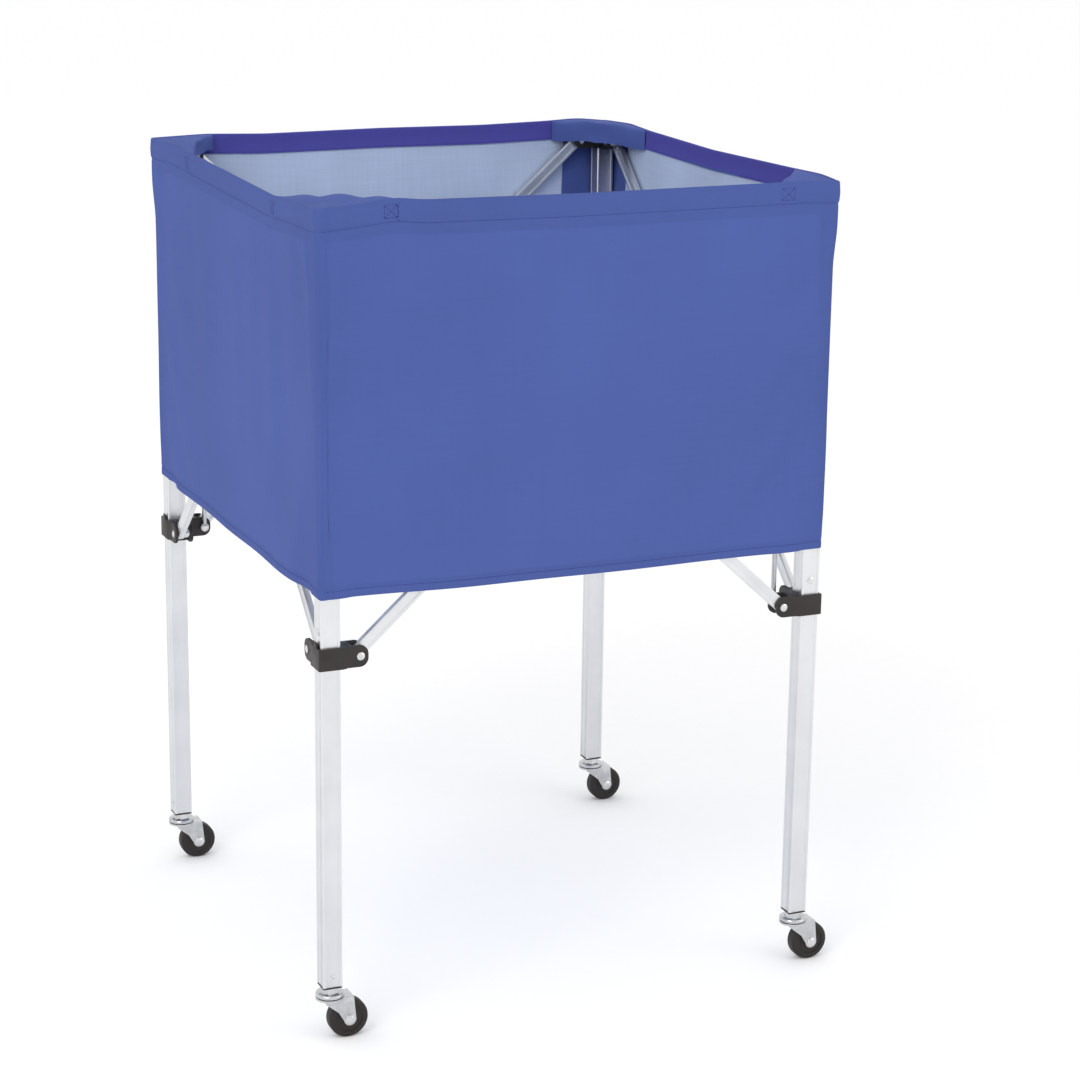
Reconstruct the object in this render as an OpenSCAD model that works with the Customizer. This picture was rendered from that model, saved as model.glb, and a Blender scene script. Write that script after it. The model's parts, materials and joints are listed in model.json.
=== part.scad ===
// Folding square cart: four legs on casters, a scissor frame, and a fabric basket hung outside the legs.
// X runs along the front, Y to the back, Z up. The origin is on the floor, midway between the four legs.

/* [Frame] */
// Distance between the centres of two neighbouring legs
leg_spacing = 651; // [560:1:760]
// Outside width of the square leg tube
leg_w = 25; // [24:0.5:26]
// Wall of the leg tube
leg_wall = 1.7; // [1.5:0.1:2.5]
// Height of the leg's lower end above the floor
leg_z0 = 72; // [71:1:76]
// Height of the leg's upper end above the floor
leg_z1 = 1031; // [1030:1:1032]
// Height of the upper bar pins
top_pin_z = 1018; // [1016:1:1020]
// Height of the lower bar pins with the cart open
slider_pin_z = 497; // [470:1:510]
// Distance of each bar pin from its leg's centre
pin_offset = 38; // [37:0.5:42]

/* [Scissor bars] */
// Depth of a bar, seen from the side
bar_h = 16; // [12:1:18]
// Thickness of a bar
bar_t = 8; // [6:0.5:8.5]
// Radius of the bar pins
pin_r = 3; // [2.5:0.1:3.5]

/* [Brackets] */
// Height of a slider
slider_h = 27; // [25:1:30]
// Height of a top bracket's arms
top_arm_h = 22; // [20:1:24]
// Thickness of a clevis cheek
cheek_t = 4; // [3:0.5:4.5]
// Height of the slider's finger tab
tab_h = 6; // [4:1:8]

/* [Casters] */
// Wheel diameter
wheel_d = 51; // [48:1:52]
// Wheel width at the tread
wheel_w = 18; // [14:1:19]
// Distance of the axle behind the swivel axis
trail = 22.4; // [18:0.2:26]
// Radius of the axle
axle_r = 4; // [3:0.5:4.5]

/* [Basket] */
// Height of the basket's lower hem
bag_z0 = 572; // [540:1:640]
// Height of the basket's rim
bag_z1 = 1043; // [1042:1:1050]
// Thickness of the fabric
cloth_t = 1.8; // [1:0.1:2.5]
// Reach of a corner pocket along each side
pocket_len = 100; // [80:1:102]
// Depth of a pocket's lip
pocket_lip = 20; // [12:1:24]
// Length of the slots in the basket's floor that the bars pass through
slot_len = 190; // [170:5:220]

/* [Hidden] */
$fn = 48;
gap = 0.3;
bore_gap = 0.05;
half = leg_spacing / 2;
leg_face = leg_w / 2;
sleeve_gap = 0.4;
sleeve_wall = 3;
sleeve_face = leg_face + sleeve_gap + sleeve_wall;
bar_plane = bar_t / 2 + gap;
cheek_in = bar_t + 2 * gap + 0.2;
cheek_out = cheek_in + cheek_t;
cheek_reach = pin_offset + 10;
cheek_corner_r = 11;
web_x = pin_offset - bar_h / 2 - 2;
pin_run = leg_spacing - 2 * pin_offset;
pin_rise = top_pin_z - slider_pin_z;
bar_len = sqrt(pin_run * pin_run + pin_rise * pin_rise);
bar_angle = atan2(pin_rise, pin_run);
mid_z = (top_pin_z + slider_pin_z) / 2;
head_r = 5;
head_h = 1.8;
stay_r = 3.2;
stay_in = cheek_out + gap + stay_r;
stay_len = 143;
eye_r = 5.8;
wheel_r = wheel_d / 2;
race_r = 18;
fork_z = 53.5;
fork_plate = 2.5;
fork_in = wheel_w / 2 + 1.5;
fork_t = 2;
wall_in = leg_face + 0.8;
flare_in = sleeve_face + gap;
flare_z0 = 950;
flare_z1 = 986;
CORNERS = ["front_left", "front_right", "back_right", "back_left"];
SIDES = ["front", "right", "back", "left"];
function each_corner(name) = [for (c = CORNERS) str(name, c)];

// Puts a shape drawn round the front left leg's centre at corner k, turned with the corner.
module at_corner(k) {
    rotate([0, 0, 90 * k]) translate([-half, -half, 0]) children();
}

// Puts a shape drawn round the swivel axis at corner k, not turned: all casters trail the same way.
module at_caster(k) {
    x = (k == 1 || k == 2) ? half : -half;
    y = (k >= 2) ? half : -half;
    translate([x, y, 0]) children();
}

// Turns a shape for the arm along +X into the same shape for the arm along +Y.
module on_second_arm() {
    mirror([1, -1, 0]) children();
}

// Rod along Y from y0 to y1.
module rod_y(r, y0, y1) {
    translate([0, y1, 0]) rotate([90, 0, 0]) cylinder(r = r, h = y1 - y0);
}

// Low domed rivet head on the XY plane.
module rivet_head(r = head_r, h = head_h) {
    rotate_extrude() polygon([[0, 0], [r, 0], [r, h * 0.35], [r * 0.62, h * 0.85], [0, h]]);
}

// Square with round corners.
module round_square(w, r) {
    square([w, w - 2 * r], center = true);
    square([w - 2 * r, w], center = true);
    for (x = [-1, 1], y = [-1, 1]) translate([x * (w / 2 - r), y * (w / 2 - r)]) circle(r = r);
}

// Leg: square tube with a shallow panel down each face.
module leg() {
    panel_w = leg_w - 8;
    panel_deep = 0.6;
    color("silver") translate([0, 0, leg_z0]) linear_extrude(leg_z1 - leg_z0) difference() {
        round_square(leg_w, 1.5);
        for (a = [0:90:270]) rotate(a) translate([leg_face - panel_deep, -panel_w / 2])
            square([2, panel_w]);
        square(leg_w - 2 * (leg_wall + panel_deep), center = true);
    }
}

// Outline of a clevis cheek of height h in XZ, round the pin's height.
module cheek_outline(x0, h) {
    top = h / 2;
    r = min(cheek_corner_r, top - 0.5);
    end_x = cheek_reach - r;
    translate([x0, -top]) square([end_x - x0, h]);
    translate([end_x - 1, -top + r]) square([r + 1, h - 2 * r]);
    for (s = [-1, 1]) translate([end_x, s * (top - r)]) circle(r = r);
}

// One arm of height h along +X: two cheeks and the web that joins them to the sleeve.
module arm(h) {
    top = h / 2;
    bend_x = sleeve_face + 6;
    for (y = [-cheek_out, cheek_in]) translate([0, y + cheek_t, 0]) rotate([90, 0, 0])
        linear_extrude(cheek_t) cheek_outline(sleeve_face - 1, h);
    translate([0, 0, -top]) linear_extrude(h) polygon([
        [sleeve_face - 1, -cheek_out + 1], [sleeve_face - 1, -sleeve_face],
        [sleeve_face, -sleeve_face], [bend_x, -cheek_out], [bend_x, -cheek_out + 1]
    ]);
    translate([sleeve_face - 1, -cheek_in - 0.5, -top])
        cube([web_x - sleeve_face + 1, 2 * cheek_in + 1, h]);
}

// Pin bores of one arm.
module arm_bore() {
    translate([pin_offset, 0, 0]) rod_y(pin_r + bore_gap, -sleeve_face - 5, sleeve_face + 5);
}

// Sleeve round the leg, up to height top, with an arm of height h along each side of the basket.
module clevis_sleeve(h, top) {
    bottom = -h / 2;
    hole_top = (top > h / 2) ? leg_z1 - top_pin_z + gap : top + 10;
    difference() {
        union() {
            translate([-sleeve_face, -sleeve_face, bottom])
                cube([2 * sleeve_face, 2 * sleeve_face, top - bottom]);
            arm(h);
            on_second_arm() arm(h);
        }
        translate([0, 0, (bottom - 10 + hole_top) / 2])
            cube([leg_w + 2 * sleeve_gap, leg_w + 2 * sleeve_gap, hole_top - bottom + 10], center = true);
        arm_bore();
        on_second_arm() arm_bore();
        corner_bevel(bottom, top);
    }
}

// Bevel on the sleeve's outside upright edge.
module corner_bevel(bottom, top) {
    translate([-sleeve_face, -sleeve_face, bottom - 1]) linear_extrude(top - bottom + 2)
        polygon([[-1, -1], [2.2, -1], [-1, 2.2]]);
}

// Slider of corner k, with a finger tab on the wall that faces along X.
module slider(k) {
    tab_w = 9;
    color("#2b2a2c") translate([0, 0, slider_pin_z]) {
        clevis_sleeve(slider_h, slider_h / 2);
        on_outer_arm(k) translate([-tab_w / 2, -sleeve_face, slider_h / 2 - 1])
            cube([tab_w, sleeve_wall - 0.4, tab_h + 1]);
    }
}

// Turns a shape to the arm that runs along Y at corner k: the first arm at every other corner.
module on_outer_arm(k) {
    if (k % 2 == 1) children();
    else on_second_arm() children();
}

module top_bracket() {
    cap = leg_z1 - top_pin_z + 3;
    color("#2b2a2c") translate([0, 0, top_pin_z]) clevis_sleeve(top_arm_h, cap);
}

// Pin through the arm along +X, with the collar that fills the clevis beside the bar.
// side is 1 where the bar runs on the inner plane and -1 where it runs on the outer plane.
module arm_pin(z, side, inner_end) {
    collar_r = 6.5;
    collar = bar_t + gap;
    translate([pin_offset, 0, z]) {
        rod_y(pin_r, -cheek_out - 0.5, inner_end);
        translate([0, -side * collar / 2 - side * 0.1, 0]) rod_y(collar_r, -collar / 2, collar / 2);
        translate([0, -cheek_out - 0.05, 0]) rotate([90, 0, 0]) rivet_head();
        translate([0, inner_end - 0.5, 0]) rotate([-90, 0, 0]) rivet_head(4.4, 1.6);
    }
}

// Plane of the bars whose upper ends are at corner k: outer at every other corner, where it is -1.
function top_plane(k) = (k % 2 == 0) ? -1 : 1;

// Fixed rivets of one leg: the two upper bar pins, the slider's stop and the foot screw.
module leg_rivets(k) {
    stop_z = slider_pin_z + slider_h / 2 + 18.5;
    face = leg_face - 0.6;
    color("gainsboro") {
        arm_pin(top_pin_z, top_plane(k), cheek_out + 0.5);
        on_second_arm() arm_pin(top_pin_z, top_plane(k), cheek_out + 0.5);
        on_second_arm() translate([0, -face, stop_z]) rotate([90, 0, 0]) rivet_head(4.3, 1.5);
        translate([0, -face, leg_z0 + 13.5]) rotate([90, 0, 0]) rivet_head(2.3, 1.1);
    }
}

module slider_pins(k) {
    color("gainsboro") {
        arm_pin(slider_pin_z, -top_plane(k), cheek_out + 0.5);
        on_second_arm() arm_pin(slider_pin_z, -top_plane(k), stay_in + stay_r + 0.8);
    }
}

// Upright stay: an eye on the inner end of the second arm's pin, and a rod up into the basket.
module stay_rod() {
    color("darkgray") translate([stay_in, pin_offset, slider_pin_z]) difference() {
        union() {
            rotate([0, 90, 0]) cylinder(r = eye_r, h = 2 * stay_r, center = true);
            cylinder(r = stay_r, h = stay_len);
        }
        rotate([0, 90, 0]) cylinder(r = pin_r + bore_gap, h = 4 * stay_r, center = true);
    }
}

// Bar in XZ from its upper pin at the origin, falling along +X.
module bar(flip) {
    groove = 0.5;
    groove_h = bar_h - 7;
    color("silver") translate([0, bar_t / 2, 0]) rotate([90, 0, 0]) rotate([0, 0, flip * bar_angle])
        difference() {
            linear_extrude(bar_t) difference() {
                union() {
                    translate([0, -bar_h / 2]) square([bar_len, bar_h]);
                    for (x = [0, bar_len]) translate([x, 0]) circle(r = bar_h / 2);
                }
                for (x = [0, bar_len / 2, bar_len]) translate([x, 0]) circle(r = pin_r + bore_gap);
            }
            for (z = [-1, bar_t - groove]) translate([14, -groove_h / 2, z])
                cube([bar_len - 28, groove_h, 1 + groove]);
        }
}

// Bar of side k in the outer plane (-1) or the inner plane (1). It falls from the top bracket of corner k
// where that bracket's bars are in the same plane, and rises from the slider of corner k where they aren't.
module side_bar(k, plane) {
    falls = top_plane(k) == plane;
    translate([pin_offset, plane * bar_plane, falls ? top_pin_z : slider_pin_z]) bar(falls ? -1 : 1);
}

// Rivet where the two bars of a side cross, seated in the bars' grooves.
module bar_rivet() {
    face = bar_plane + bar_t / 2 - 0.5;
    color("gainsboro") translate([half, 0, mid_z]) {
        rod_y(pin_r, -face - 0.5, face + 0.5);
        translate([0, -face - 0.05, 0]) rotate([90, 0, 0]) rivet_head(4.2, 1.6);
        translate([0, face + 0.05, 0]) rotate([-90, 0, 0]) rivet_head(4.2, 1.6);
    }
}

// Plastic end plug in the leg, and the steel stem with its nut and ball race.
module caster_stem() {
    plug_w = leg_w - 2 * (leg_wall + 0.6) - 0.2;
    plug_flange = 2.2;
    stem_r = 5;
    stem_top = leg_z0 + 30;
    plug_z = leg_z0 - plug_flange;
    race_z = fork_z + fork_plate + gap;
    race_top = race_z + 6;
    color("#2b2a2c") difference() {
        union() {
            translate([0, 0, plug_z]) linear_extrude(plug_flange - 0.05) round_square(leg_w - 0.4, 1.5);
            translate([-plug_w / 2, -plug_w / 2, leg_z0 - 1]) cube([plug_w, plug_w, 33]);
        }
        translate([0, 0, plug_z - 1]) cylinder(r = stem_r + 0.02, h = stem_top - plug_z + 1.1);
    }
    color("gainsboro") {
        translate([0, 0, fork_z - 3]) cylinder(r = stem_r, h = stem_top - fork_z + 3);
        translate([0, 0, fork_z - 3]) cylinder(r = 7.5, h = 2.7);
        translate([0, 0, race_top - 1]) rotate(15) cylinder(r = 12, h = plug_z - race_top + 0.95, $fn = 6);
        translate([0, 0, race_z]) rotate_extrude() polygon([
            [stem_r - 1, 0], [race_r - 2.5, 0], [race_r - 0.6, 0.8], [race_r, 2.2], [race_r, 4.2],
            [race_r - 1, 5.6], [race_r - 3, 6], [stem_r - 1, 6]
        ]);
    }
}

// Side of the fork in XZ, as swept back to the axle.
module fork_outline() {
    tip_r = 8;
    top = fork_z + fork_plate;
    nose_x = -9;
    difference() {
        union() {
            polygon([
                [nose_x, top], [trail + 5, top], [trail + tip_r, wheel_r], [trail - tip_r, wheel_r - 1],
                [trail - tip_r - 7, wheel_r + 11], [nose_x, top - 6]
            ]);
            translate([trail, wheel_r]) circle(r = tip_r);
        }
        translate([trail, wheel_r]) circle(r = axle_r + 0.02);
    }
}

module caster_fork() {
    plate_x1 = trail + 5;
    color("gainsboro") difference() {
        union() {
            for (y = [-fork_in - fork_t, fork_in]) translate([0, y + fork_t, 0]) rotate([90, 0, 0])
                linear_extrude(fork_t) fork_outline();
            translate([0, 0, fork_z]) cylinder(r = race_r, h = fork_plate);
            translate([-3, -fork_in - 1, fork_z]) cube([plate_x1 + 3, 2 * fork_in + 2, fork_plate]);
        }
        translate([0, 0, fork_z - 5]) cylinder(r = 5 + bore_gap, h = 12);
    }
}

module caster_axle() {
    side = fork_in + fork_t;
    color("gainsboro") translate([trail, 0, wheel_r]) {
        rod_y(axle_r, -side - 0.5, side + 0.5);
        translate([0, -side - 0.05, 0]) rotate([90, 0, 0]) rivet_head(6, 2);
        translate([0, side + 0.05, 0]) rotate([-90, 0, 0]) rivet_head(6, 2);
    }
}

// Solid wheel: tread with round shoulders, a shallow ring groove, and a hub boss each side.
module caster_wheel() {
    w = wheel_w / 2;
    shoulder = 4;
    hub_r = 8.5;
    boss = fork_in - 0.4;
    color("#262221") translate([trail, 0, wheel_r]) rotate([90, 0, 0]) rotate_extrude($fn = 96) difference() {
        union() {
            translate([0, -w]) square([wheel_r - shoulder, 2 * w]);
            translate([0, -w + shoulder]) square([wheel_r, 2 * (w - shoulder)]);
            for (s = [-1, 1]) translate([wheel_r - shoulder, s * (w - shoulder)]) circle(r = shoulder);
            translate([0, -boss]) square([hub_r, 2 * boss]);
        }
        translate([-50, -50]) square([50 + axle_r + bore_gap, 100]);
        for (s = [-1, 1]) translate([13.5, s * w - 0.8]) square([4, 1.6]);
    }
}

// Section of a basket wall: outward distance from the leg's centre against height.
module wall_section() {
    polygon([
        [wall_in, bag_z0], [wall_in, flare_z0], [flare_in, flare_z1], [flare_in, bag_z1],
        [flare_in + cloth_t, bag_z1], [flare_in + cloth_t, flare_z1 - 1],
        [wall_in + cloth_t, flare_z0], [wall_in + cloth_t, bag_z0]
    ]);
}

// Half of the wall's mitred plan, which keeps it clear of its neighbours.
module wall_sector() {
    reach = half + 60;
    linear_extrude(bag_z1 + 100) polygon([[0, -gap], [-reach + gap, -reach], [reach - gap, -reach]]);
}

// Corner pocket: a triangle over the leg and its top bracket, with a lip that hangs on its long side.
module pocket() {
    c = half + flare_in - gap / 2;
    skin = 2;
    translate([-c, -c, bag_z1 - skin - 1]) linear_extrude(skin)
        polygon([[gap, gap], [pocket_len, gap], [gap, pocket_len]]);
    translate([-c, -c, bag_z1 - pocket_lip - 1]) linear_extrude(pocket_lip)
        polygon([[pocket_len - 3, gap], [pocket_len, gap], [gap, pocket_len], [gap, pocket_len - 3]]);
}

// Basket wall of side k, with the pocket of corner k.
module bag_wall(k) {
    color("#5867af") rotate([0, 0, 90 * k]) {
        intersection() {
            translate([-half - 60, -half, 0]) rotate([90, 0, 90]) mirror([1, 0, 0])
                linear_extrude(leg_spacing + 120) wall_section();
            wall_sector();
        }
        difference() {
            pocket();
            translate([-half - 40, -half - flare_in - 20, 0]) cube([leg_spacing, 20, bag_z1 + 10]);
        }
    }
}

// Basket floor between the walls, slotted at the corners for the legs, the bars and the stays.
module bag_floor() {
    edge = half + wall_in - gap;
    slot_w = 36;
    color("#aab7d8") translate([0, 0, bag_z0]) linear_extrude(cloth_t) difference() {
        square(2 * edge, center = true);
        for (k = [0:3]) rotate(90 * k) translate([-edge - 1, -edge - 1]) {
            square([slot_len, slot_w + 1]);
            square([slot_w + 1, slot_len]);
        }
    }
}

for (k = [0:3]) {
    at_corner(k) leg();
    at_corner(k) top_bracket();
    at_corner(k) leg_rivets(k);
    at_corner(k) slider(k);
    at_corner(k) slider_pins(k);
    at_corner(k) stay_rod();
    at_corner(k) side_bar(k, -1);
    at_corner(k) side_bar(k, 1);
    at_corner(k) bar_rivet();
    at_caster(k) caster_stem();
    at_caster(k) caster_fork();
    at_caster(k) caster_axle();
    at_caster(k) caster_wheel();
    bag_wall(k);
}
bag_floor();
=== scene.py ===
"""Folding square laundry cart with a hung fabric basket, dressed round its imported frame.

The hard parts keep the frame's shapes and get eased edges and real finishes. The basket is sewn from
sheets of cloth: four walls with turned hems, their lining, corner pockets, a floor and the stitching.
"""
import json
import logging
import math
from dataclasses import dataclass, field
from enum import Enum
from typing import Callable

import bpy
import numpy as np
from mathutils import Matrix, Vector

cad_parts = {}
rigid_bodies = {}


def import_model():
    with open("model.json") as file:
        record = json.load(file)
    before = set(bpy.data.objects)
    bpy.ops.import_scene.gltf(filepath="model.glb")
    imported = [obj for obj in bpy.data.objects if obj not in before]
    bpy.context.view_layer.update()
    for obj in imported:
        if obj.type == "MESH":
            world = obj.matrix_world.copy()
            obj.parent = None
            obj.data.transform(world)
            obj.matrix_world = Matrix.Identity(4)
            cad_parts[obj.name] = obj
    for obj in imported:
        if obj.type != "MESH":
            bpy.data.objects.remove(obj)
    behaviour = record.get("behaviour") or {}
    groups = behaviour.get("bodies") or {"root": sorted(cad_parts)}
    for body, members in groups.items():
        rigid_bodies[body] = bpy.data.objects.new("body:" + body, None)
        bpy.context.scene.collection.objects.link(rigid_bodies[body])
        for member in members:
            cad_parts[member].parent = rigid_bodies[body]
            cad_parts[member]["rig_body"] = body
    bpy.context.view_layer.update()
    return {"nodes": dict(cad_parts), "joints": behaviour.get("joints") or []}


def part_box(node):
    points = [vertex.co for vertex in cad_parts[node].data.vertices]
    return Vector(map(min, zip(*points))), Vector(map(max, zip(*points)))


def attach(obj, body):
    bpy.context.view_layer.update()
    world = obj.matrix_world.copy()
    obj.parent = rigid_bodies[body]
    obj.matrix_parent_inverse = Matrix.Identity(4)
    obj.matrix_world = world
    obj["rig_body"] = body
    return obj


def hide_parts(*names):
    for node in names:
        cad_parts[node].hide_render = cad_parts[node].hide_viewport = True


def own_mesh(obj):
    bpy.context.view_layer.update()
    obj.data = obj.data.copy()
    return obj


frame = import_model()

LOG = logging.getLogger("laundry_cart")
MM = 0.001
BAR_DEPTH = 16 * MM
Colour = tuple[float, float, float]
Place = Callable[[np.ndarray, np.ndarray], np.ndarray]


class Corner(Enum):
    """Corners of the cart, in the order of quarter turns from the front left one."""

    FRONT_LEFT = 0
    FRONT_RIGHT = 1
    BACK_RIGHT = 2
    BACK_LEFT = 3

    @property
    def label(self) -> str:
        """Name of the corner as used in piece names."""
        return self.name.lower()

    @property
    def leg(self) -> str:
        """Body of the leg at this corner."""
        return f"leg_{self.label}"


class Side(Enum):
    """Sides of the basket. Each runs from the corner of the same number to the next corner."""

    FRONT = 0
    RIGHT = 1
    BACK = 2
    LEFT = 3

    @property
    def label(self) -> str:
        """Name of the side as used in piece names."""
        return self.name.lower()

    @property
    def corner(self) -> Corner:
        """Corner that the side starts at, whose leg carries its cloth."""
        return Corner(self.value)


class Slot(Enum):
    """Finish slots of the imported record."""

    ALUMINIUM = "aluminium"
    PLASTIC = "black_plastic"
    ZINC = "zinc_steel"
    CHROME = "chrome"
    WHEEL = "wheel_rubber"
    CLOTH = "blue_polyester"
    LINING = "lining"


class Hold(Enum):
    """How a sheet of cloth is held."""

    HUNG = "hung"
    LAID = "laid"
    STRETCHED = "stretched"


# ---------------------------------------------------------------------------------------------------
# Bench tools: selection, edit mode, modifiers, grids
# ---------------------------------------------------------------------------------------------------


def pick(piece: bpy.types.Object) -> None:
    """Make one piece the only selected and the active one.

    Args:
        piece: The piece to work on.
    """
    bpy.ops.object.select_all(action="DESELECT")
    piece.select_set(True)
    bpy.context.view_layer.objects.active = piece


def points_of(piece: bpy.types.Object) -> np.ndarray:
    """Read a mesh's points.

    Args:
        piece: A mesh piece.

    Returns:
        One row of x, y, z for each point.
    """
    flat = np.zeros(len(piece.data.vertices) * 3)
    piece.data.vertices.foreach_get("co", flat)
    return flat.reshape(-1, 3)


def move_points(piece: bpy.types.Object, points: np.ndarray) -> None:
    """Give a mesh new point positions.

    Args:
        piece: A mesh piece.
        points: One row of x, y, z for each point.
    """
    piece.data.vertices.foreach_set("co", points.ravel())
    piece.data.update()


def apply_modifier(piece: bpy.types.Object, kind: str, **settings: object) -> None:
    """Add a modifier and apply it at once.

    Args:
        piece: The piece to change.
        kind: Blender's modifier type.
        settings: Values of the modifier.
    """
    pick(piece)
    modifier = piece.modifiers.new(kind.lower(), kind)
    for name, value in settings.items():
        setattr(modifier, name, value)
    bpy.ops.object.modifier_apply(modifier=modifier.name)


def smooth_faces(piece: bpy.types.Object, degrees: float = 35.0) -> None:
    """Shade smooth, apart from edges sharper than an angle.

    Args:
        piece: The piece to shade.
        degrees: Angle from which an edge stays sharp.
    """
    pick(piece)
    bpy.ops.object.shade_smooth_by_angle(angle=math.radians(degrees))


def ease(t: np.ndarray) -> np.ndarray:
    """Smooth step from 0 to 1.

    Args:
        t: Values, clipped to the range 0 to 1.

    Returns:
        The eased values.
    """
    t = np.clip(t, 0.0, 1.0)
    return t * t * (3.0 - 2.0 * t)


def bump(distance: np.ndarray, width: float) -> np.ndarray:
    """Smooth bump that is 1 at zero distance and falls to about a third at its width.

    Args:
        distance: Distance from the bump's middle.
        width: Width of the bump, in the same units.

    Returns:
        Height of the bump, from 0 to 1.
    """
    return np.exp(-((distance / width) ** 2))


def quarter_turned(points: np.ndarray, quarters: int) -> np.ndarray:
    """Turn points about the upright axis by whole quarter turns.

    Args:
        points: One row of x, y, z for each point.
        quarters: Number of quarter turns, anticlockwise from above.

    Returns:
        The turned points.
    """
    cosine, sine = ((1, 0), (0, 1), (-1, 0), (0, -1))[quarters % 4]
    x, y, z = points.T
    return np.stack([cosine * x - sine * y, sine * x + cosine * y, z], axis=1)


def laid_sheet(
    name: str, columns: int, rows: int, place: Place, flat: tuple[float, float]
) -> bpy.types.Object:
    """Lay a grid out as a sheet of cloth, with its flat size in metres as its UV map.

    Args:
        name: Name of the piece.
        columns: Cells across the sheet.
        rows: Cells up the sheet.
        place: Rule from across and up, both from -1 to 1, to points.
        flat: Width and height of the flat sheet.

    Returns:
        The sheet, one surface without thickness.
    """
    bpy.ops.object.select_all(action="DESELECT")
    bpy.ops.mesh.primitive_grid_add(x_subdivisions=columns, y_subdivisions=rows, size=2.0)
    piece = bpy.context.object
    piece.name = piece.data.name = name
    grid = points_of(piece)
    layer = piece.data.uv_layers.active.data
    uv = np.zeros(len(layer) * 2)
    layer.foreach_get("uv", uv)
    layer.foreach_set("uv", (uv.reshape(-1, 2) * np.array(flat)).ravel())
    move_points(piece, place(grid[:, 0], grid[:, 1]))
    return piece


def thicken(piece: bpy.types.Object, thickness: float) -> None:
    """Give a sheet its thickness, half to each side, and shade it smooth.

    Args:
        piece: The sheet.
        thickness: Thickness of the cloth.
    """
    apply_modifier(piece, "SOLIDIFY", thickness=thickness, offset=0.0, use_even_offset=True)
    smooth_faces(piece, 50.0)


# ---------------------------------------------------------------------------------------------------
# Finishes
# ---------------------------------------------------------------------------------------------------


def paint(red: int, green: int, blue: int) -> Colour:
    """Turn a paint chip's 0 to 255 values into linear light.

    Args:
        red: Red value.
        green: Green value.
        blue: Blue value.

    Returns:
        The linear colour.
    """
    def linear(value: int) -> float:
        """Linear light of one channel."""
        share = value / 255
        return share / 12.92 if share <= 0.04045 else ((share + 0.055) / 1.055) ** 2.4

    return linear(red), linear(green), linear(blue)


def shade(colour: Colour, factor: float) -> tuple[float, float, float, float]:
    """Lighten or darken a colour.

    Args:
        colour: Linear colour.
        factor: What each channel is multiplied by.

    Returns:
        The colour with full opacity.
    """
    return (*(min(1.0, channel * factor) for channel in colour), 1.0)


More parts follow.
